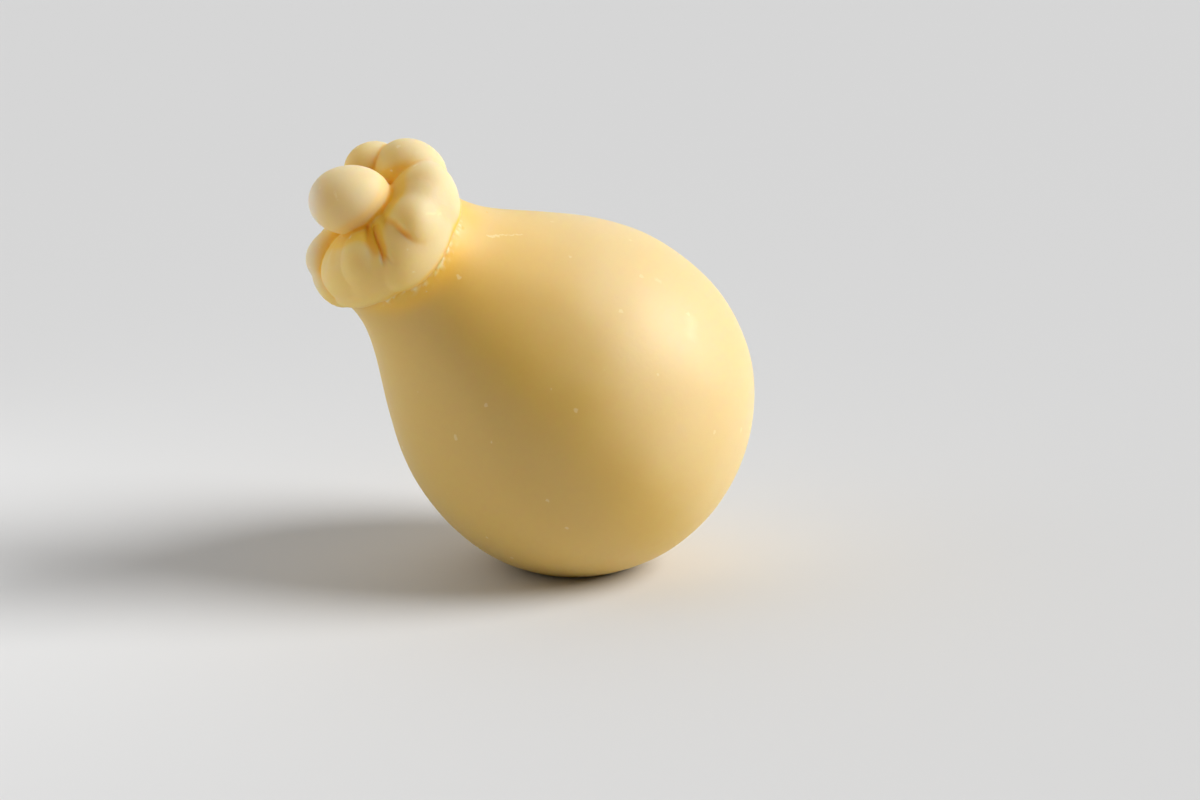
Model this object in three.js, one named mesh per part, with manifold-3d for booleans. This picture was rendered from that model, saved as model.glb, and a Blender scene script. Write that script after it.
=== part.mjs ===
// A pear-shaped stretched-curd cheese with a knotted head, lying on its belly with the head raised.
// It is one solid piece: a round body that narrows to a neck, a collar where the head is folded over,
// the folds of the knot drawn in to a pinch, and the ball of curd that closes the pinch.
// Units are millimetres, +Z is up, the head leans towards -X, and the origin is the middle of the
// flat spot that the cheese lies on.
import * as THREE from "three";
import { mergeVertices } from "three/addons/utils/BufferGeometryUtils.js";
import Module from "manifold-3d";

const wasm = await Module();
wasm.setup();

// Body, measured along the cheese's own axis from its widest ring
const BELLY_RADIUS = 63.4;
const BOTTOM_DEPTH = 61;
const NECK_RADIUS = 25.6;
const NECK_HEIGHT = 94;
const SHOULDER_PULL = 46; // how far the outline keeps the belly's direction
const NECK_PULL = 30; // how far the outline keeps the neck's direction
const BOTTOM_STEPS = 15;
const SHOULDER_STEPS = 20;
const BODY_SIDES = 60;

// Collar, a flattened ball round the top of the neck, tipped a little to the side
const COLLAR = {
  centre: new THREE.Vector3(-0.4, -2.4, 93.2),
  radius: 27.5,
  halfHeight: 10.5,
  tipX: -5,
  tipY: 8,
  sides: 44,
  steps: 16,
};

// Folds of the knot. Root and tip are an angle round the axis in degrees, a distance from the axis and a
// height above the widest ring. Angle 0 is the upper side of the lying cheese. A positive taper makes the
// tip end the fuller one.
const FOLDS = {
  ball: { root: [-40.8, 15.1, 108.8], tip: [-177.8, 8.6, 126.4], width: 23, thickness: 23, taper: 0.02 },
  top: { root: [4, 9, 103.5], tip: [8, 34, 103], width: 28, thickness: 25, taper: 0.1 },
  topBroad: { root: [24, 5, 103], tip: [28, 29, 90], width: 34, thickness: 22, taper: 0.1 },
  back: { root: [33.5, 12.4, 102.7], tip: [41, 29, 116.2], width: 21, thickness: 20, taper: 0.1 },
  backBroad: { root: [80, 4, 104], tip: [78, 29.5, 91.5], width: 42, thickness: 24, taper: 0.1 },
  farBack: { root: [88, 7, 106], tip: [88, 28, 97.5], width: 21, thickness: 23, taper: 0.15 },
  farLeft: { root: [125, 6, 105], tip: [124, 27, 95.5], width: 19, thickness: 21, taper: 0.15 },
  leftBroad: { root: [140, 4, 103], tip: [140, 28, 93], width: 34, thickness: 21, taper: 0.1 },
  leftRim: { root: [146, 22, 107], tip: [-177, 24.6, 92], width: 15, thickness: 15, taper: 0 },
  left: { root: [141, 5.7, 108.9], tip: [157, 26.1, 98.9], width: 15, thickness: 21, taper: 0.2 },
  lowLeft: { root: [-150, 3.5, 107], tip: [-174, 25.5, 96.5], width: 18, thickness: 20, taper: 0.2 },
  lowBroad: { root: [-138, 4, 106.5], tip: [-143, 26.8, 95], width: 34, thickness: 23, taper: 0.1 },
  low: { root: [-97.5, 8, 107.5], tip: [-134.5, 27, 95.5], width: 22, thickness: 22.8, taper: 0.15 },
  lowFront: { root: [-114, 6, 104.3], tip: [-114, 28.6, 94], width: 34, thickness: 22.6, taper: 0.1 },
  frontBroad: { root: [-88, 7, 104.3], tip: [-80, 30, 91.8], width: 38, thickness: 24, taper: 0.1 },
  wedge: { root: [-75, 10.8, 109.4], tip: [-100, 28, 91.5], width: 17.5, thickness: 19.5, taper: 0.2 },
  right: { root: [-80, 9, 106.2], tip: [-67, 29.2, 92.2], width: 25, thickness: 26.6, taper: 0.3 },
  rightMiddle: { root: [-64, 10, 106.3], tip: [-44, 29.4, 92.4], width: 24, thickness: 25, taper: 0.25 },
  rightTop: { root: [-56, 10, 106.5], tip: [-32.5, 30.4, 92.7], width: 27, thickness: 25, taper: 0.25 },
};
const FOLD_HEART = new THREE.Vector3(0, 0, 92); // folds bulge away from this point on the axis
const FOLD_SIDES = 22;
const FOLD_STEPS = 16;

// Resting pose
const AXIS_RISE = 42; // how steeply the axis climbs towards the head, in degrees
const REST_SINK = 3; // how much of the round belly is pressed flat where the cheese lies
const FLOOR_BLOCK = 300; // side of the block that trims the belly flat

const radians = THREE.MathUtils.degToRad;

// A closed geometry as a solid that can be joined and cut.
function solidOf(geometry) {
  const bare = new THREE.BufferGeometry();
  bare.setAttribute("position", geometry.getAttribute("position"));
  bare.setIndex(geometry.index);
  const merged = mergeVertices(bare);
  const triangles = [];
  for (let i = 0; i < merged.index.count; i += 3) {
    const [a, b, c] = merged.index.array.subarray(i, i + 3);
    if (a !== b && b !== c && c !== a) triangles.push(a, b, c);
  }
  return new wasm.Manifold(
    new wasm.Mesh({
      numProp: 3,
      vertProperties: new Float32Array(merged.attributes.position.array),
      triVerts: new Uint32Array(triangles),
    }),
  );
}

// The finished solid as a geometry, with flat facets.
function geometryOf(solid) {
  const mesh = solid.getMesh();
  const geometry = new THREE.BufferGeometry();
  geometry.setAttribute("position", new THREE.BufferAttribute(mesh.vertProperties, 3));
  geometry.setIndex(new THREE.BufferAttribute(mesh.triVerts, 1));
  geometry.computeVertexNormals();
  return geometry;
}

// Body and neck: half an ellipse below the widest ring, one long S-curve above it, turned round the axis.
function bodySolid() {
  const bottom = new THREE.EllipseCurve(0, 0, BELLY_RADIUS, BOTTOM_DEPTH, -Math.PI / 2, 0);
  const shoulder = new THREE.CubicBezierCurve(
    new THREE.Vector2(BELLY_RADIUS, 0),
    new THREE.Vector2(BELLY_RADIUS, SHOULDER_PULL),
    new THREE.Vector2(NECK_RADIUS, NECK_HEIGHT - NECK_PULL),
    new THREE.Vector2(NECK_RADIUS, NECK_HEIGHT),
  );
  const pole = new THREE.Vector2(0, -BOTTOM_DEPTH);
  const lid = new THREE.Vector2(0, NECK_HEIGHT);
  const profile = [
    pole,
    ...bottom.getPoints(BOTTOM_STEPS).slice(1),
    ...shoulder.getSpacedPoints(SHOULDER_STEPS).slice(1),
    lid,
  ];
  return solidOf(new THREE.LatheGeometry(profile, BODY_SIDES).rotateX(Math.PI / 2));
}

function collarSolid() {
  const tip = new THREE.Euler(radians(COLLAR.tipX), radians(COLLAR.tipY), 0, "YXZ");
  const turn = new THREE.Quaternion().setFromEuler(tip);
  const scale = new THREE.Vector3(COLLAR.radius, COLLAR.radius, COLLAR.halfHeight);
  const ball = new THREE.SphereGeometry(1, COLLAR.sides, COLLAR.steps).rotateX(Math.PI / 2);
  return solidOf(ball.applyMatrix4(new THREE.Matrix4().compose(COLLAR.centre, turn, scale)));
}

// A point given by its angle round the axis, its distance from the axis and its height.
function roundAxis([angle, distance, height]) {
  const turn = radians(angle);
  return new THREE.Vector3(distance * Math.cos(turn), distance * Math.sin(turn), height);
}

// One fold: a long rounded lobe from its root to its tip, fuller at one end.
function foldSolid({ root, tip, width, thickness, taper }) {
  const from = roundAxis(root);
  const to = roundAxis(tip);
  const middle = from.clone().lerp(to, 0.5);
  const along = to.clone().sub(from);
  const halfLength = along.length() / 2;
  along.normalize();
  const outward = middle.clone().sub(FOLD_HEART);
  outward.addScaledVector(along, -outward.dot(along)).normalize();
  const across = outward.clone().cross(along);

  const lobe = new THREE.SphereGeometry(1, FOLD_SIDES, FOLD_STEPS).rotateZ(Math.PI / 2);
  const points = lobe.getAttribute("position");
  for (let i = 0; i < points.count; i += 1) {
    const fullness = 1 + taper * points.getX(i);
    points.setXYZ(
      i,
      points.getX(i) * halfLength,
      (points.getY(i) * fullness * width) / 2,
      (points.getZ(i) * fullness * thickness) / 2,
    );
  }
  const place = new THREE.Matrix4().makeBasis(along, across, outward).setPosition(middle);
  return solidOf(lobe.applyMatrix4(place));
}

// The whole cheese, standing on its axis, with the widest ring at height 0.
function uprightCheese() {
  const folds = Object.values(FOLDS).map(foldSolid);
  return [collarSolid(), ...folds].reduce((joined, piece) => joined.add(piece), bodySolid());
}

// Lay the cheese down, set its lowest point over the origin and press that point flat.
function lyingCheese() {
  const rise = radians(AXIS_RISE);
  const belly = Math.hypot(BELLY_RADIUS * Math.cos(rise), BOTTOM_DEPTH * Math.sin(rise));
  const lowestX =
    ((BOTTOM_DEPTH ** 2 - BELLY_RADIUS ** 2) * Math.sin(rise) * Math.cos(rise)) / belly;
  const lean = new THREE.Matrix4().makeRotationY(rise - Math.PI / 2);
  lean.setPosition(-lowestX, 0, belly - REST_SINK);
  const floor = new THREE.BoxGeometry(FLOOR_BLOCK, FLOOR_BLOCK, FLOOR_BLOCK);
  floor.translate(0, 0, -FLOOR_BLOCK / 2);
  return uprightCheese().transform(lean.toArray()).subtract(solidOf(floor));
}

const rind = new THREE.MeshStandardMaterial({ color: 0xf0d79c, roughness: 0.45, metalness: 0 });
const cheese = new THREE.Mesh(geometryOf(lyingCheese()), rind);
cheese.name = "cheese";

const caciocavallo = new THREE.Group();
caciocavallo.name = "caciocavallo";
caciocavallo.add(cheese);

export default caciocavallo;
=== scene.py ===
import math

import bpy
import numpy as np
from mathutils import Matrix, Vector, noise


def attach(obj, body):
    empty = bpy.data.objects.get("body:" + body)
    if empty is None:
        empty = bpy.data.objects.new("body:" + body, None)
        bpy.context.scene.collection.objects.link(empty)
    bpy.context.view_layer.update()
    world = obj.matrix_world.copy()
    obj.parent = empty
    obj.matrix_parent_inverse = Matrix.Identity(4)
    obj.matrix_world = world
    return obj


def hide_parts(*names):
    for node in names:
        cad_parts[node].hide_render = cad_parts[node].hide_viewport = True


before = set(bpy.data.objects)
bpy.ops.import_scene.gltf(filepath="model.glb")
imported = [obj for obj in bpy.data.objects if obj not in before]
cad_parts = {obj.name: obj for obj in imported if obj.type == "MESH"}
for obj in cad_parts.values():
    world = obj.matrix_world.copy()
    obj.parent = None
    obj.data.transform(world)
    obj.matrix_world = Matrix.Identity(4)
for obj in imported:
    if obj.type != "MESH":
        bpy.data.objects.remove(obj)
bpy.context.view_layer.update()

# Body and neck
# Stretched curd, shaped by hand while hot into a ball that narrows to a neck. Below its widest ring the
# outline is half an ellipse, and above it one long S-curve. It is built upright, ring by ring.
MM = 0.001
BELLY_RADIUS = 63.4 * MM
BOTTOM_DEPTH = 61 * MM
NECK_RADIUS = 25.6 * MM
NECK_HEIGHT = 94 * MM
SHOULDER_PULL = 46 * MM
NECK_PULL = 30 * MM
BOTTOM_RINGS = 70
SHOULDER_RINGS = 90
BODY_SIDES = 220


def body_rings():
    """Radius and height of each ring, from just above the bottom pole to the top of the neck."""
    for step in range(1, BOTTOM_RINGS + 1):
        turn = math.pi / 2 * step / BOTTOM_RINGS
        yield BELLY_RADIUS * math.sin(turn), -BOTTOM_DEPTH * math.cos(turn)
    for step in range(1, SHOULDER_RINGS + 1):
        t = math.sin(math.pi / 2 * step / SHOULDER_RINGS)
        belly_share = (1 - t) ** 3 + 3 * (1 - t) ** 2 * t
        radius = NECK_RADIUS + (BELLY_RADIUS - NECK_RADIUS) * belly_share
        pulled = 3 * (1 - t) ** 2 * t * SHOULDER_PULL + 3 * (1 - t) * t**2 * (NECK_HEIGHT - NECK_PULL)
        yield radius, pulled + t**3 * NECK_HEIGHT


def turned_body():
    """The body as one closed mesh: a disc, extruded and resized once for each ring."""
    rings = list(body_rings())
    radius, height = rings[0]
    bpy.ops.object.select_all(action="DESELECT")
    bpy.ops.mesh.primitive_circle_add(
        vertices=BODY_SIDES, radius=radius, fill_type="NGON", location=(0, 0, height)
    )
    body = bpy.context.object
    bpy.ops.object.transform_apply(location=True, rotation=True, scale=True)
    bpy.ops.object.mode_set(mode="EDIT")
    bpy.ops.mesh.select_all(action="SELECT")
    for next_radius, next_height in rings[1:]:
        rise = (0, 0, next_height - height)
        bpy.ops.mesh.extrude_region_move(TRANSFORM_OT_translate={"value": rise})
        grow = next_radius / radius
        bpy.ops.transform.resize(value=(grow, grow, 1), center_override=(0, 0, next_height))
        radius, height = next_radius, next_height
    bpy.ops.mesh.select_all(action="SELECT")
    bpy.ops.mesh.normals_make_consistent(inside=False)
    bpy.ops.object.mode_set(mode="OBJECT")
    return body


cheese = turned_body()

# Collar, folds and ball of the head
# The end of the curd is folded over the neck and drawn in to a pinch, which a ball of curd closes. The
# collar is a flattened ball, and each fold a long rounded lobe from its root at the pinch to its tip.
COLLAR_CENTRE = Vector((-0.4, -2.4, 93.2)) * MM
COLLAR_RADIUS = 27.5 * MM
COLLAR_HALF_HEIGHT = 10.5 * MM
COLLAR_TIP_X = math.radians(-5)
COLLAR_TIP_Y = math.radians(8)
FOLD_HEART = Vector((0, 0, 92)) * MM
LOBE_SEGMENTS = 64
LOBE_RINGS = 48
# Root and tip of each fold: angle round the axis in degrees, distance from the axis and height, in
# millimetres. Then its width and thickness, and how much fuller the tip end is.
FOLDS = {
    "ball": ((-40.8, 15.1, 108.8), (-177.8, 8.6, 126.4), 23, 23, 0.02),
    "top": ((4, 9, 103.5), (8, 34, 103), 28, 25, 0.1),
    "top broad": ((24, 5, 103), (28, 29, 90), 34, 22, 0.1),
    "back": ((33.5, 12.4, 102.7), (41, 29, 116.2), 21, 20, 0.1),
    "back broad": ((80, 4, 104), (78, 29.5, 91.5), 42, 24, 0.1),
    "far back": ((88, 7, 106), (88, 28, 97.5), 21, 23, 0.15),
    "far left": ((125, 6, 105), (124, 27, 95.5), 19, 21, 0.15),
    "left broad": ((140, 4, 103), (140, 28, 93), 34, 21, 0.1),
    "left rim": ((146, 22, 107), (-177, 24.6, 92), 15, 15, 0),
    "left": ((141, 5.7, 108.9), (157, 26.1, 98.9), 15, 21, 0.2),
    "low left": ((-150, 3.5, 107), (-174, 25.5, 96.5), 18, 20, 0.2),
    "low broad": ((-138, 4, 106.5), (-143, 26.8, 95), 34, 23, 0.1),
    "low": ((-97.5, 8, 107.5), (-134.5, 27, 95.5), 22, 22.8, 0.15),
    "low front": ((-114, 6, 104.3), (-114, 28.6, 94), 34, 22.6, 0.1),
    "front broad": ((-88, 7, 104.3), (-80, 30, 91.8), 38, 24, 0.1),
    "wedge": ((-75, 10.8, 109.4), (-100, 28, 91.5), 17.5, 19.5, 0.2),
    "right": ((-80, 9, 106.2), (-67, 29.2, 92.2), 25, 26.6, 0.3),
    "right middle": ((-64, 10, 106.3), (-44, 29.4, 92.4), 24, 25, 0.25),
    "right top": ((-56, 10, 106.5), (-32.5, 30.4, 92.7), 27, 25, 0.25),
}


def round_axis(angle, distance, height):
    """A point given by its angle round the axis, its distance from it and its height."""
    turn = math.radians(angle)
    return Vector((distance * math.cos(turn), distance * math.sin(turn), height)) * MM


def lobe(place, taper):
    """A ball of unit radius, made fuller towards its +Z end and set in place by a matrix."""
    bpy.ops.object.select_all(action="DESELECT")
    bpy.ops.mesh.primitive_uv_sphere_add(segments=LOBE_SEGMENTS, ring_count=LOBE_RINGS, radius=1)
    made = bpy.context.object
    if taper:
        fuller = made.modifiers.new("fuller end", "SIMPLE_DEFORM")
        fuller.deform_method = "TAPER"
        fuller.deform_axis = "Z"
        fuller.factor = 2 * taper
        bpy.ops.object.modifier_apply(modifier=fuller.name)
    made.matrix_world = place
    bpy.ops.object.transform_apply(location=True, rotation=True, scale=True)
    return made


def fold(root, tip, width, thickness, taper):
    """One fold of the knot, bulging away from the heart of the head."""
    start = round_axis(*root)
    end = round_axis(*tip)
    middle = (start + end) / 2
    along = (end - start).normalized()
    outward = middle - FOLD_HEART
    outward = (outward - along * outward.dot(along)).normalized()
    across = outward.cross(along)
    half = (width * MM / 2, thickness * MM / 2, (end - start).length / 2)
    columns = (across * half[0], outward * half[1], along * half[2], middle)
    place = Matrix.Identity(4)
    for number, column in enumerate(columns):
        place.col[number].xyz = column
    return lobe(place, taper)


collar_place = (
    Matrix.Translation(COLLAR_CENTRE)
    @ Matrix.Rotation(COLLAR_TIP_Y, 4, "Y")
    @ Matrix.Rotation(COLLAR_TIP_X, 4, "X")
    @ Matrix.Diagonal((COLLAR_RADIUS, COLLAR_RADIUS, COLLAR_HALF_HEIGHT, 1))
)
lobes = [lobe(collar_place, 0)]
for sizes in FOLDS.values():
    lobes.append(fold(*sizes))

# Skin of the head
# The lobes are one curd, so they are fused into one skin with softened folds. Where folds run into each
# other the skin is smoothed further, and the creases that run out from the pinch are pressed in deeper.
HEAD_GRAIN = 0.5 * MM
FOLD_SOFTENING = 6
BAND_SOFTENING = 140
CREASE_SOFTENING = 2
DEEPEST_CREASE = 3 * MM
# Bands where the right folds run into each other and into the top fold: half width, then points along the
# band by angle round the axis, distance from it, height, and share of the smoothing.
SOFT_BANDS = (
    (12, ((-52, 24, 110.3, 0.8), (-57, 30.5, 107, 1), (-59, 32.5, 101, 1), (-59, 31, 94, 0.5))),
    (7, ((-27, 24, 110.3, 0.2), (-27, 28, 109, 0.5), (-23, 30.5, 106.5, 0.5), (-17, 32, 102.5, 0.1))),
)
# Half width of each crease, then points along it by angle round the axis, distance from it, height, and
# depth. Angles are in degrees, the rest in millimetres.
CREASES = {
    "right of the wedge": (
        1.9,
        (
            (-83, 21.6, 110, 0.7),
            (-84, 26.4, 108.4, 1),
            (-86.1, 30.5, 104.2, 0.9),
            (-86.7, 31.7, 100.5, 0),
        ),
    ),
    "left of the wedge": (
        1.8,
        (
            (-95, 19.7, 110.2, 2.4),
            (-99.8, 23.3, 108.9, 2.6),
            (-104, 27, 106.3, 1.9),
            (-110.3, 29.6, 102.2, 0),
        ),
    ),
    "slope down to it": (
        3.6,
        (
            (-101, 18.3, 110.2, 1.2),
            (-104.8, 22.4, 109.2, 1.2),
            (-107.5, 25.9, 107.2, 0.9),
            (-109.1, 27.9, 105.1, 0),
        ),
    ),
    "wedge's left edge": (
        1.3,
        (
            (-103.8, 26.9, 106.4, 0.8),
            (-104.6, 29.1, 103.8, 0.6),
            (-105.1, 30.9, 100.3, 0),
        ),
    ),
    "between the low folds": (
        4,
        (
            (-159.7, 10.7, 111.5, 0.5),
            (-157, 15.4, 111.9, 0.5),
            (-152.3, 20.9, 110.8, 0.4),
            (-153.8, 25.7, 107.2, 0),
        ),
    ),
    "far side, upper": (
        2.8,
        (
            (77, 19.5, 112, 0.8),
            (75.5, 25.2, 109.6, 1.7),
            (74, 28, 105.1, 1.8),
            (73, 30.2, 100.4, 1.5),
            (72, 31.2, 95, 0.9),
            (71, 30.5, 89, 0),
        ),
    ),
    "far side, middle": (
        2.6,
        (
            (106, 18.8, 111, 0.8),
            (107, 23.9, 108.9, 1.8),
            (108, 27, 104.8, 1.9),
            (109, 30, 100.3, 1.5),
            (109, 31, 95, 0.9),
            (109, 30, 89, 0),
        ),
    ),
    "far side, lower": (
        2.6,
        (
            (131, 18, 110.2, 0.7),
            (131, 22.7, 108.1, 1.5),
            (130, 26.2, 104.5, 1.5),
            (129, 28.5, 100, 1.1),
            (128, 29, 95, 0.6),
            (128, 28, 90, 0),
        ),
    ),
}


def apply_modifier(target, name, kind, **settings):
    """Add a modifier to an object, set it up and apply it."""
    bpy.context.view_layer.objects.active = target
    modifier = target.modifiers.new(name, kind)
    for setting, value in settings.items():
        setattr(modifier, setting, value)
    bpy.ops.object.modifier_apply(modifier=modifier.name)


def apply_by_share(target, name, share, kind, **settings):
    """Add and apply a modifier that acts on each point by its share."""
    group = target.vertex_groups.new(name=name)
    for number in np.flatnonzero(share > 0.01):
        group.add([int(number)], share[number], "REPLACE")
    apply_modifier(target, name, kind, vertex_group=name, **settings)
    target.vertex_groups.clear()


def points_of(mesh, kind="co"):
    """Places, or normals, of a mesh's points as an array."""
    values = np.empty(len(mesh.vertices) * 3, np.float32)
    mesh.vertices.foreach_get(kind, values)
    return values.reshape(-1, 3).astype(float)


def groove(target, points, path, half_width):
    """Depth of a rounded groove at each point. The path is drawn onto the surface first."""
    corners = [np.array(target.closest_point_on_mesh(round_axis(*corner[:3]))[1]) for corner in path]
    depth = np.zeros(len(points))
    for first, second, start, end in zip(path, path[1:], corners, corners[1:]):
        step = end - start
        share = np.clip((points - start) @ step / (step @ step), 0, 1)
        away = np.linalg.norm(points - start - share[:, None] * step, axis=1)
        inside = 0.5 + 0.5 * np.cos(np.pi * np.clip(away / half_width, 0, 1))
        depth = np.maximum(depth, inside * (first[3] + share * (second[3] - first[3])))
    return depth * MM


bpy.ops.object.select_all(action="DESELECT")
for piece in lobes:
    piece.select_set(True)
head = lobes[0]
bpy.context.view_layer.objects.active = head
bpy.ops.object.join()
apply_modifier(head, "skin", "REMESH", mode="VOXEL", voxel_size=HEAD_GRAIN)
apply_modifier(head, "soft folds", "SMOOTH", factor=0.5, iterations=FOLD_SOFTENING)
head_points = points_of(head.data)
band_share = np.zeros(len(head_points))
for half_width, path in SOFT_BANDS:
    band_share = np.maximum(band_share, groove(head, head_points, path, half_width * MM) / MM)
apply_by_share(head, "soft band", band_share, "SMOOTH", factor=0.5, iterations=BAND_SOFTENING)
head_points = points_of(head.data)
pressed = np.zeros(len(head_points))
for half_width, path in CREASES.values():
    pressed = np.maximum(pressed, groove(head, head_points, path, half_width * MM))
# The near side is pressed in along +Y, the far side along -Y
for inwards in (1, -1):
    share = pressed / DEEPEST_CREASE * (head_points[:, 1] * inwards < 0)
    push = {"direction": "Y", "strength": inwards * DEEPEST_CREASE, "mid_level": 0}
    apply_by_share(head, "creases", share, "DISPLACE", **push)
apply_modifier(head, "soft creases", "SMOOTH", factor=0.5, iterations=CREASE_SOFTENING)

# Whole cheese
# Head and body are one curd, joined where the collar meets the neck, with crumbs of curd along that seam
# and a slightly uneven surface under a smooth waxy rind. The cheese is laid down with its head raised, and
# its belly is pressed flat where it lies.
HEAD_FROM = 0.98 * NECK_HEIGHT
RIM_FROM = 0.7 * NECK_HEIGHT
RIM_STANDS_OUT = 0.1 * MM
HEAD_EDGE_ROUNDS = 4
SEAM_ROUNDS = 12
SEAM_SOFTENING = 10
CRUMB_ROUNDS = 40
CRUMB_SIZE = 1.5 * MM
CRUMB_PATCH = 5 * CRUMB_SIZE
CRUMB_HEIGHT = 0.5 * MM
UNEVEN_SIZE = 34 * MM
UNEVEN_DEPTH = 0.9 * MM
AXIS_RISE = math.radians(42)
REST_SINK = 3 * MM
# Where the colours of the rind lie: the neck by height, creases and wider dips by how far they lie below
# the surface round them, pressed creases by their depth, the ball by the distance from its own axis, and
# painted light by the way each point faces the key light and by how far it reaches out at the head.
# Creases, dips and pressed creases carry painted shade and glow, and the head's end a painted pale sheen.
NECK_FROM = 0.45 * NECK_HEIGHT
NECK_FADE = 0.45 * NECK_HEIGHT
CREASE_ROUNDS = 60
CREASE_DEPTH = 0.5 * MM
DIP_ROUNDS = 400
DIP_DEPTH = 0.4 * MM
DIP_BLUR = 160
EDGE_BLUR = 6
DARK_DEPTH = 1.3 * MM
DARK_SPREAD = 1.35
BALL_REACH = 13.1 * MM
BALL_FADE = 1 * MM
# The key light's side, painted paler, and the head end's side, painted pale as sheen from the surround
PAINTED_LIGHT_SIDE = (0.73, -0.35, 0.58)
PAINTED_SHEEN_SIDE = (-0.906, 0.423, 0)
LIGHT_AT_END_FROM = 81 * MM
LIGHT_AT_END_FADE = 10 * MM
# Where the painted pale sheen at the head's end begins and fades
SHEEN_AT_END_FROM = 83 * MM
SHEEN_AT_END_FADE = 9 * MM

apply_modifier(cheese, "one curd", "BOOLEAN", operation="UNION", solver="MANIFOLD", object=head)
bpy.data.objects.remove(head)
cheese.name = "caciocavallo"
cheese.data.name = "caciocavallo"


def smoothed(mesh, values, rounds):
    """Values at a mesh's points, each evened out with its neighbours a number of times."""
    ends = np.empty(len(mesh.edges) * 2, np.int32)
    mesh.edges.foreach_get("vertices", ends)
    ends = ends.reshape(-1, 2)
    pairs = np.concatenate((ends, ends[:, ::-1]))
    count = len(mesh.vertices)
    neighbours = np.bincount(pairs[:, 0], minlength=count)
    columns = []
    for column in values.T:
        for _ in range(rounds):
            total = np.bincount(pairs[:, 0], weights=column[pairs[:, 1]], minlength=count)
            column = 0.5 * column + 0.5 * total / neighbours
        columns.append(column)
    return np.stack(columns, axis=1)


def hollowness(mesh, rounds, depth):
    """How deep each point lies below a smoothed copy of the surface, as a share of a depth."""
    start = points_of(mesh)
    sunk = smoothed(mesh, start, rounds) - start
    return np.einsum("ij,ij->i", sunk, points_of(mesh, "normal")) / depth


def keep_on_surface(mesh, name, values, blur=0):
    """Store one number from 0 to 1 for each point, evened out, for the material to read."""
    evened = smoothed(mesh, values[:, None], blur)[:, 0]
    layer = mesh.attributes.new(name, "FLOAT", "POINT")
    layer.data.foreach_set("value", np.clip(evened, 0, 1).astype(np.float32))


points = points_of(cheese.data)
heights = points[:, 2]
ring_radii, ring_heights = np.array(list(body_rings())).T
stands_out = np.hypot(points[:, 0], points[:, 1]) - np.interp(heights, ring_heights, ring_radii)
head_or_not = (heights > HEAD_FROM) | ((heights > RIM_FROM) & (stands_out > RIM_STANDS_OUT))
head_or_not = head_or_not.astype(float)[:, None]
on_head = smoothed(cheese.data, head_or_not, HEAD_EDGE_ROUNDS)[:, 0]
seam_share = smoothed(cheese.data, head_or_not, SEAM_ROUNDS)[:, 0]
off_seam = 1 - np.clip(8 * seam_share * (1 - seam_share), 0, 1)
below_seam = 6 * smoothed(cheese.data, head_or_not, CRUMB_ROUNDS)[:, 0]
below_seam = np.clip(1.5 - np.abs(below_seam - 1.5), 0, 1)
apply_by_share(cheese, "soft seam", 1 - off_seam, "SMOOTH", factor=0.5, iterations=SEAM_SOFTENING)

# Crumbs lie in patches below the seam, mostly on the near and far sides
crumbs = np.clip(2 * on_head * (1 - on_head), 0, 1)
for number in np.flatnonzero(below_seam > 0.05):
    spot = Vector(points[number])
    lumps = noise.noise(spot / CRUMB_SIZE) + 0.6 * noise.noise(spot / CRUMB_PATCH)
    lumps += 1.4 * abs(spot.y) / spot.xy.length - 1.2
    crumbs[number] = max(crumbs[number], below_seam[number] * min(max(3 * lumps - 0.3, 0), 1))
apply_by_share(cheese, "crumbs", crumbs, "DISPLACE", strength=CRUMB_HEIGHT, mid_level=0)
clouds = bpy.data.textures.new("hand-shaped unevenness", "CLOUDS")
clouds.noise_scale = UNEVEN_SIZE
clouds.noise_depth = 1
uneven = {"texture": clouds, "texture_coords": "LOCAL", "strength": UNEVEN_DEPTH, "mid_level": 0.5}
apply_modifier(cheese, "uneven surface", "DISPLACE", **uneven)

neck = np.clip((heights - NECK_FROM) / NECK_FADE, 0, 1) * (1 - on_head)
keep_on_surface(cheese.data, "head", on_head)
keep_on_surface(cheese.data, "neck", neck)
keep_on_surface(cheese.data, "crumbs", crumbs)
# Masks for the painted amber shade in creases and the painted glow in wider dips
creases = off_seam * np.maximum(hollowness(cheese.data, CREASE_ROUNDS, CREASE_DEPTH), 0)
keep_on_surface(cheese.data, "crease", creases, EDGE_BLUR)
pressed = np.zeros(len(points))
for half_width, path in CREASES.values():
    pressed = np.maximum(pressed, groove(cheese, points, path, DARK_SPREAD * half_width * MM))
keep_on_surface(cheese.data, "pressed", np.minimum(pressed / DARK_DEPTH, 1), EDGE_BLUR)
ball_ends = [np.array(round_axis(*end)) for end in FOLDS["ball"][:2]]
ball_middle = np.mean(ball_ends, axis=0)
ball_length = np.linalg.norm(ball_ends[1] - ball_ends[0])
ball_axis = (ball_ends[1] - ball_ends[0]) / ball_length
ball_spare = (ball_length - FOLDS["ball"][2] * MM) / 2
along_ball = np.clip((points - ball_middle) @ ball_axis, -ball_spare, ball_spare)
from_ball = np.linalg.norm(points - ball_middle - along_ball[:, None] * ball_axis, axis=1)
on_ball = np.clip((BALL_REACH - from_ball) / BALL_FADE, 0, 1)
keep_on_surface(cheese.data, "ball", on_ball, EDGE_BLUR)
dips = (0.3 + 0.7 * off_seam) * np.maximum(hollowness(cheese.data, DIP_ROUNDS, DIP_DEPTH), 0)
keep_on_surface(cheese.data, "dip", dips, DIP_BLUR)

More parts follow.
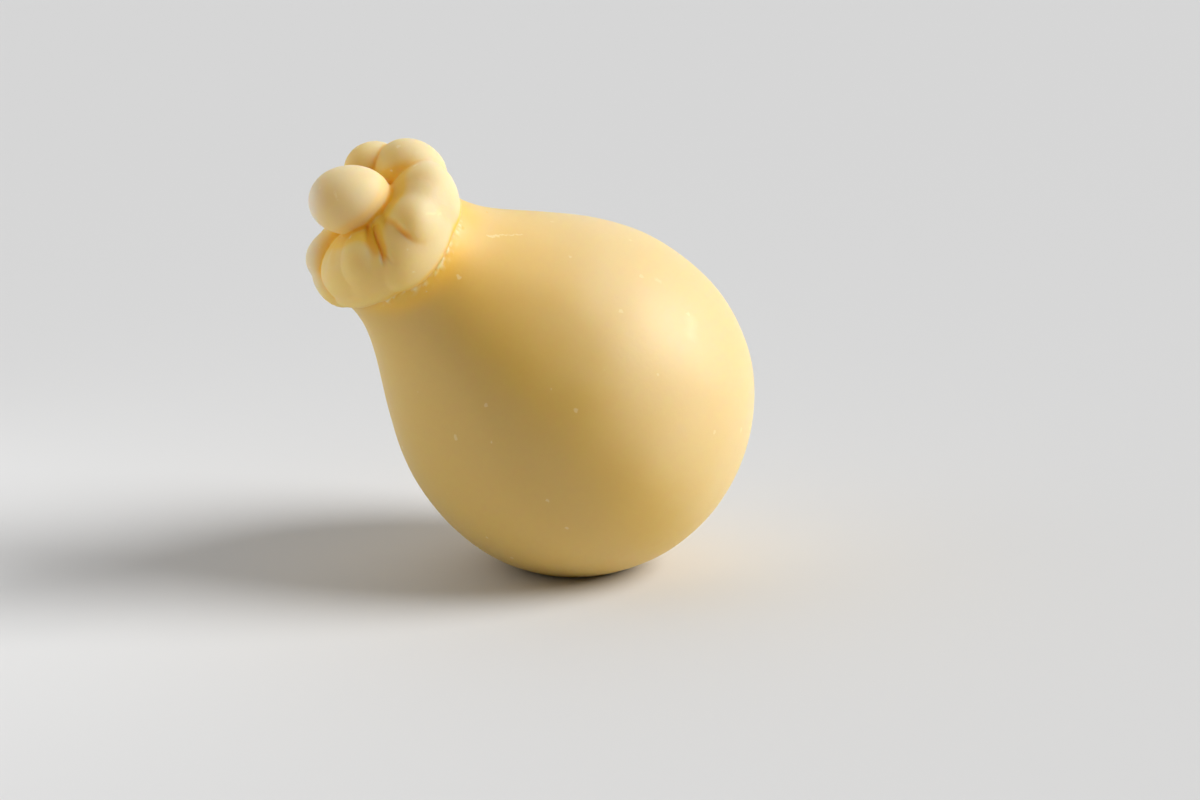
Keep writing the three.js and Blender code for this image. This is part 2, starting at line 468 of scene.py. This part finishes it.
belly = math.hypot(BELLY_RADIUS * math.cos(AXIS_RISE), BOTTOM_DEPTH * math.sin(AXIS_RISE))
axis_lean = math.sin(AXIS_RISE) * math.cos(AXIS_RISE) / belly
lowest_x = (BOTTOM_DEPTH**2 - BELLY_RADIUS**2) * axis_lean
belly_centre = Vector((-lowest_x, 0, belly - REST_SINK))
bpy.ops.object.select_all(action="DESELECT")
cheese.select_set(True)
cheese.matrix_world = Matrix.Translation(belly_centre) @ Matrix.Rotation(AXIS_RISE - math.pi / 2, 4, "Y")
bpy.ops.object.transform_apply(location=True, rotation=True, scale=True)
# Painted light: near 1 where a point faces the key light, near 0 where it faces away, raised at the head's
# end
painted_light = 0.5 + 0.6 * points_of(cheese.data, "normal") @ np.array(PAINTED_LIGHT_SIDE)
end_reach = (points_of(cheese.data) - np.array(belly_centre)) @ np.array(PAINTED_SHEEN_SIDE)
keep_on_surface(cheese.data, "painted_light", np.maximum(painted_light, (end_reach - LIGHT_AT_END_FROM) / LIGHT_AT_END_FADE))
# Painted pale sheen far out at the head's end, on the side facing the bright surround
keep_on_surface(cheese.data, "end", (end_reach - SHEEN_AT_END_FROM) / SHEEN_AT_END_FADE)
bpy.ops.object.mode_set(mode="EDIT")
bpy.ops.mesh.select_all(action="SELECT")
bpy.ops.mesh.bisect(
    plane_co=(0, 0, 0), plane_no=(0, 0, 1), use_fill=True, clear_inner=True, threshold=0.001 * MM
)
bpy.ops.object.mode_set(mode="OBJECT")
bpy.ops.object.shade_smooth()


class Shade:
    """A socket in a material. Sums and products of shades add Math nodes."""

    def __init__(self, tree, socket=None):
        self.tree = tree
        self.socket = socket

    def node(self, kind, settings, inputs, output=0):
        """Add a node, set it up, feed its sockets and return one of its outputs."""
        made = self.tree.nodes.new(kind)
        for name, value in settings.items():
            setattr(made, name, value)
        for name, value in inputs.items():
            if isinstance(value, Shade):
                self.tree.links.new(value.socket, made.inputs[name])
            else:
                made.inputs[name].default_value = value
        return Shade(self.tree, made.outputs[output])

    def math(self, operation, first, second):
        return self.node("ShaderNodeMath", {"operation": operation}, {0: first, 1: second})

    def vector_math(self, operation, inputs, output=0):
        return self.node("ShaderNodeVectorMath", {"operation": operation}, inputs, output)

    def __add__(self, other):
        return self.math("ADD", self, other)

    def __sub__(self, other):
        return self.math("SUBTRACT", self, other)

    def __rsub__(self, other):
        return self.math("SUBTRACT", other, self)

    def __mul__(self, other):
        return self.math("MULTIPLY", self, other)

    __radd__ = __add__
    __rmul__ = __mul__

    def between(self, low, high):
        """0 at low, 1 at high, and a smooth rise between them."""
        limits = {"Value": self, "From Min": low, "From Max": high}
        return self.node("ShaderNodeMapRange", {"interpolation_type": "SMOOTHSTEP"}, limits)

    def mixed(self, first, second):
        """The first colour where this is 0, the second where it is 1."""
        return self.node("ShaderNodeMix", {"data_type": "RGBA"}, {0: self, 6: first, 7: second}, 2)


# Marks in the rind, in millimetres in the lying cheese's frame: both ends, half width and strength of each
# rubbed place or painted glint, then the middle and half width of each pit. Marks and specks have ragged
# edges.
PALE_MARKS_AND_GLINT = (
    ((-41, -21, 126), (-37, -21, 125.5), 0.7, 0.6),
    ((-38, -20.7, 126), (-28, -20, 125.5), 0.6, 0.6),
    ((23, -47.3, 96.4), (21, -51, 92.3), 4, 0.3),
    ((14, -38.7, 109.6), (15, -39, 109), 1.5, 0.4),
    # A painted highlight: a glint on the right fold, drawn as a pale mark
    ((-66.5, -30.5, 137.4), (-60.7, -28.1, 136.3), 0.8, 0.6),
    ((-92.3, -12.3, 143.8), (-91.6, -13.9, 141.3), 0.6, 0.5),
    ((-95.5, -7.6, 144.3), (-95.5, -7.6, 144.3), 0.9, 0.5),
    ((-71.7, -30.7, 117.9), (-71.7, -30.7, 117.9), 0.9, 0.6),
    ((-74.1, -31.1, 126.1), (-74.1, -31.1, 126.1), 0.7, 0.6),
)
PITS = (((-49.7, -20, 129.8), 0.9), ((-35.9, -8.4, 131.8), 0.8))
PIT_STRENGTH = 0.6
RAGGEDNESS = 2 * MM


def near_line(ragged, first, last, half_width):
    """1 on the line between two places in the rind, fading to 0 at the half width."""
    shift = Vector((1, 1, 1)) * RAGGEDNESS / 2
    first = Vector(first) * MM + shift
    along = Vector(last) * MM + shift - first
    reach = along / max(along.length_squared, MM**2)
    from_first = ragged.vector_math("SUBTRACT", {0: ragged, 1: first})
    share = ragged.vector_math("DOT_PRODUCT", {0: from_first, 1: reach}, "Value")
    share = ragged.node("ShaderNodeClamp", {}, {"Value": share})
    nearest = ragged.vector_math("SCALE", {0: along, "Scale": share})
    away = ragged.vector_math("DISTANCE", {0: from_first, 1: nearest}, "Value")
    return away.between(half_width * MM, 0)


def rind_material():
    """Smooth, slightly translucent curd: golden body, creamier head, painted amber crease shade, small pale
    specks.
    """
    gold = (0.81, 0.53, 0.085, 1)
    dun = (0.79, 0.535, 0.145, 1)
    straw = (0.86, 0.645, 0.3, 1)
    butter = (0.9, 0.635, 0.2, 1)
    cream = (0.84, 0.68, 0.385, 1)
    painted_sheen = (0.84, 0.73, 0.64, 1)
    honey = (0.8, 0.48, 0.04, 1)
    glow = (0.98, 0.58, 0.06, 1)
    apricot = (0.96, 0.57, 0.015, 1)
    amber = (0.88, 0.445, 0.002, 1)
    curd_white = (0.96, 0.81, 0.47, 1)
    cloud_scale = 26
    grain_scale = 420
    stray_scale = 600
    speck_scale = 110
    relief_strength = 0.25
    relief_height = 0.0003
    soak = (0.8, 0.6, 0.18)
    soak_depth = 10 * MM
    material = bpy.data.materials.new("cheese rind")
    material.use_nodes = True
    tree = material.node_tree
    surface = tree.nodes["Principled BSDF"]
    start = Shade(tree)
    kept_names = ("head", "neck", "crumbs", "crease", "pressed", "ball", "dip", "painted_light", "end")
    head, neck, crumbs, crease, pressed, ball, dip, painted_light, end = (
        start.node("ShaderNodeAttribute", {"attribute_name": name}, {}, "Fac") for name in kept_names
    )
    place = start.node("ShaderNodeTexCoord", {}, {}, "Object")
    cloudy = {"Vector": place, "Scale": cloud_scale, "Detail": 3}
    clouds = start.node("ShaderNodeTexNoise", {}, cloudy, "Fac")
    grainy = {"Vector": place, "Scale": grain_scale, "Detail": 4}
    grain = start.node("ShaderNodeTexNoise", {}, grainy, "Fac")
    straying = {"Vector": place, "Scale": stray_scale, "Detail": 2}
    stray = start.node("ShaderNodeTexNoise", {}, straying, "Color")
    ragged = start.vector_math("MULTIPLY_ADD", {0: stray, 1: (RAGGEDNESS,) * 3, 2: place})
    spots = {"Vector": ragged, "Scale": speck_scale}
    to_spot = start.node("ShaderNodeTexVoronoi", {}, spots, "Distance")
    spot_draw = start.node("ShaderNodeTexVoronoi", {}, spots, "Color")
    spot_size = 0.03 + 0.08 * spot_draw.between(0.35, 0.7)
    specks = (spot_size - to_spot).between(0, 0.03)

    # Golden curd with painted light: paler straw where it faces the key light, darker dun where it faces
    # away, a painted warm glow on the neck, and painted lighter and darker cream on the creamier head
    light_and_mottle = (painted_light + 0.3 * (clouds - 0.5)).between(0.42, 0.96)
    colour = light_and_mottle.mixed(gold, straw)
    colour = (painted_light.between(0.62, 0.36) * 0.85).mixed(colour, dun)
    # Painted glow on the neck where it turns from light to shade, less where it is fully lit
    neck_glow = 0.85 * painted_light.between(0.42, 0.7) - 0.5 * painted_light.between(0.85, 1.0)
    colour = (neck * neck_glow).mixed(colour, honey)
    colour = head.mixed(colour, (light_and_mottle + 0.45 * ball).mixed(butter, cream))
    # Painted pale sheen at the head's end, strongest on the ball
    colour = (end * (0.25 + 0.55 * ball)).mixed(colour, painted_sheen)

    # Painted glow of light held in the hollows, and painted amber shade in the creases
    lit_neck = neck * painted_light.between(0.8, 1.0)
    hollow_glow = dip.between(0, 0.4) * (0.95 - 0.6 * ball) * (1 - 0.85 * end) * (1 - 0.6 * lit_neck)
    colour = hollow_glow.mixed(colour, glow)
    colour = (crease.between(0.1, 0.9) * 0.9).mixed(colour, apricot)
    colour = pressed.between(0.1, 0.9).mixed(colour, amber)

    # Specks, crumbs, rubbed places, a painted glint, and pits painted amber as the shade in them
    colour = (specks * 0.45).mixed(colour, curd_white)
    colour = (crumbs * 0.7).mixed(colour, curd_white)
    for first, last, half_width, strength in PALE_MARKS_AND_GLINT:
        colour = (near_line(ragged, first, last, half_width) * strength).mixed(colour, curd_white)
    # Pits painted amber as the shade in them
    for middle, half_width in PITS:
        colour = (near_line(ragged, middle, middle, half_width) * PIT_STRENGTH).mixed(colour, amber)
    tree.links.new(colour.socket, surface.inputs["Base Color"])

    # Waxy on the body, duller on the head, with a fine grain, and light soaking in a few millimetres
    roughness = 0.46 + 0.14 * grain + 0.1 * head
    tree.links.new(roughness.socket, surface.inputs["Roughness"])
    bump = {"Strength": relief_strength, "Distance": relief_height, "Height": grain}
    relief = start.node("ShaderNodeBump", {}, bump)
    tree.links.new(relief.socket, surface.inputs["Normal"])
    coat = 0.45 - 0.35 * head
    tree.links.new(coat.socket, surface.inputs["Coat Weight"])
    surface.inputs["Coat Roughness"].default_value = 0.6
    surface.inputs["IOR"].default_value = 1.5
    surface.inputs["Subsurface Weight"].default_value = 1.0
    surface.inputs["Subsurface Radius"].default_value = soak
    surface.inputs["Subsurface Scale"].default_value = soak_depth
    return material


cheese.data.materials.clear()
cheese.data.materials.append(rind_material())
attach(cheese, "root")
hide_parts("cheese")

# Floor
# A wide plain pale surface, matt as paper, level with the flat spot under the belly.
# It is one plane that reaches far past the camera's view.
FLOOR_SIZE = 12.0
FLOOR_COLOUR = (0.72, 0.72, 0.72, 1)
FLOOR_ROUGHNESS = 0.9
bpy.ops.object.select_all(action="DESELECT")
bpy.ops.mesh.primitive_plane_add(size=FLOOR_SIZE, location=(0, 0, 0))
floor = bpy.context.object
floor.name = "floor"
paper = bpy.data.materials.new("pale floor")
paper.use_nodes = True
paper.node_tree.nodes["Principled BSDF"].inputs["Base Color"].default_value = FLOOR_COLOUR
paper.node_tree.nodes["Principled BSDF"].inputs["Roughness"].default_value = FLOOR_ROUGHNESS
floor.data.materials.append(paper)

# Light
# A broad soft key light from the right and above, a fill lamp and a weak rim lamp on the head's left, and a
# surround that is bright overhead and behind the cheese and dim in front of it.
CAMERA_AZIMUTH = math.radians(-25)
CAMERA_ELEVATION = math.radians(14)
HEAD_CENTRE_HEIGHT = 105 * MM
# Each side is given in the camera's right, up and back
KEY_STRENGTH = 3.5
KEY_SPREAD = math.radians(35)
KEY_SIDE = (0.805, 0.535, 0.2)
# Size in metres, power in watts, side and distance in metres of the lamps near the head
HEAD_LAMPS = {
    "fill": (0.3, 0.2, (-0.88, 0.35, 0.3), 0.32),
    "rim": (0.25, 0.06, (-0.92, 0.1, -0.3), 0.3),
}
SURROUND_SIDE = (-0.5, 0.5, -0.7)
SURROUND_DIM = 0.05
SURROUND_RISE = 0.6
camera_tilt = Matrix.Rotation(math.pi / 2 - CAMERA_ELEVATION, 3, "X")
turn_to_camera = Matrix.Rotation(CAMERA_AZIMUTH, 3, "Z") @ camera_tilt


def hang(light, target, side, distance):
    """Hang a light on one side of a target, facing it."""
    hung = bpy.data.objects.new(light.name, light)
    direction = (turn_to_camera @ Vector(side)).normalized()
    hung.location = target + direction * distance
    hung.rotation_euler = direction.to_track_quat("Z", "Y").to_euler()
    bpy.context.scene.collection.objects.link(hung)


key = bpy.data.lights.new("key", "SUN")
key.energy = KEY_STRENGTH
key.angle = KEY_SPREAD
hang(key, belly_centre, KEY_SIDE, 1.0)
lean = Matrix.Rotation(AXIS_RISE - math.pi / 2, 3, "Y")
head_centre = belly_centre + lean @ Vector((0, 0, HEAD_CENTRE_HEIGHT))
for name, (size, power, side, distance) in HEAD_LAMPS.items():
    head_lamp = bpy.data.lights.new(name, "AREA")
    head_lamp.size = size
    head_lamp.energy = power
    hang(head_lamp, head_centre, side, distance)

surround = bpy.data.worlds.new("surround")
surround.use_nodes = True
around = Shade(surround.node_tree)
looked_at = around.node("ShaderNodeTexCoord", {}, {}, "Generated")
bright_side = turn_to_camera @ Vector(SURROUND_SIDE)
facing = around.vector_math("DOT_PRODUCT", {0: looked_at, 1: bright_side}, "Value")
brightness = SURROUND_DIM + SURROUND_RISE * facing.between(-0.1, 0.9)
background = surround.node_tree.nodes["Background"]
surround.node_tree.links.new(brightness.socket, background.inputs["Strength"])
background.inputs["Color"].default_value = (1, 1, 1, 1)
bpy.context.scene.world = surround
bpy.context.scene.view_settings.view_transform = "Standard"

# Camera
# A long lens, a little above the cheese and to its head's side. The place is worked out from where the
# middle of the belly lies in the 1200 by 800 picture.
IMAGE_WIDTH = 1200
IMAGE_HEIGHT = 800
BELLY_PIXEL = (579, 401)
LENS = 85
SENSOR = 36
BELLY_DISTANCE = 1.0087
camera_data = bpy.data.cameras.new("camera")
camera_data.lens = LENS
camera_data.sensor_width = SENSOR
camera = bpy.data.objects.new("camera", camera_data)
focal_pixels = LENS / SENSOR * IMAGE_WIDTH
right = (BELLY_PIXEL[0] - IMAGE_WIDTH / 2) / focal_pixels * BELLY_DISTANCE
up = (IMAGE_HEIGHT / 2 - BELLY_PIXEL[1]) / focal_pixels * BELLY_DISTANCE
camera.rotation_euler = turn_to_camera.to_euler()
camera.location = belly_centre - turn_to_camera @ Vector((right, up, -BELLY_DISTANCE))
bpy.context.scene.collection.objects.link(camera)
bpy.context.scene.camera = camera
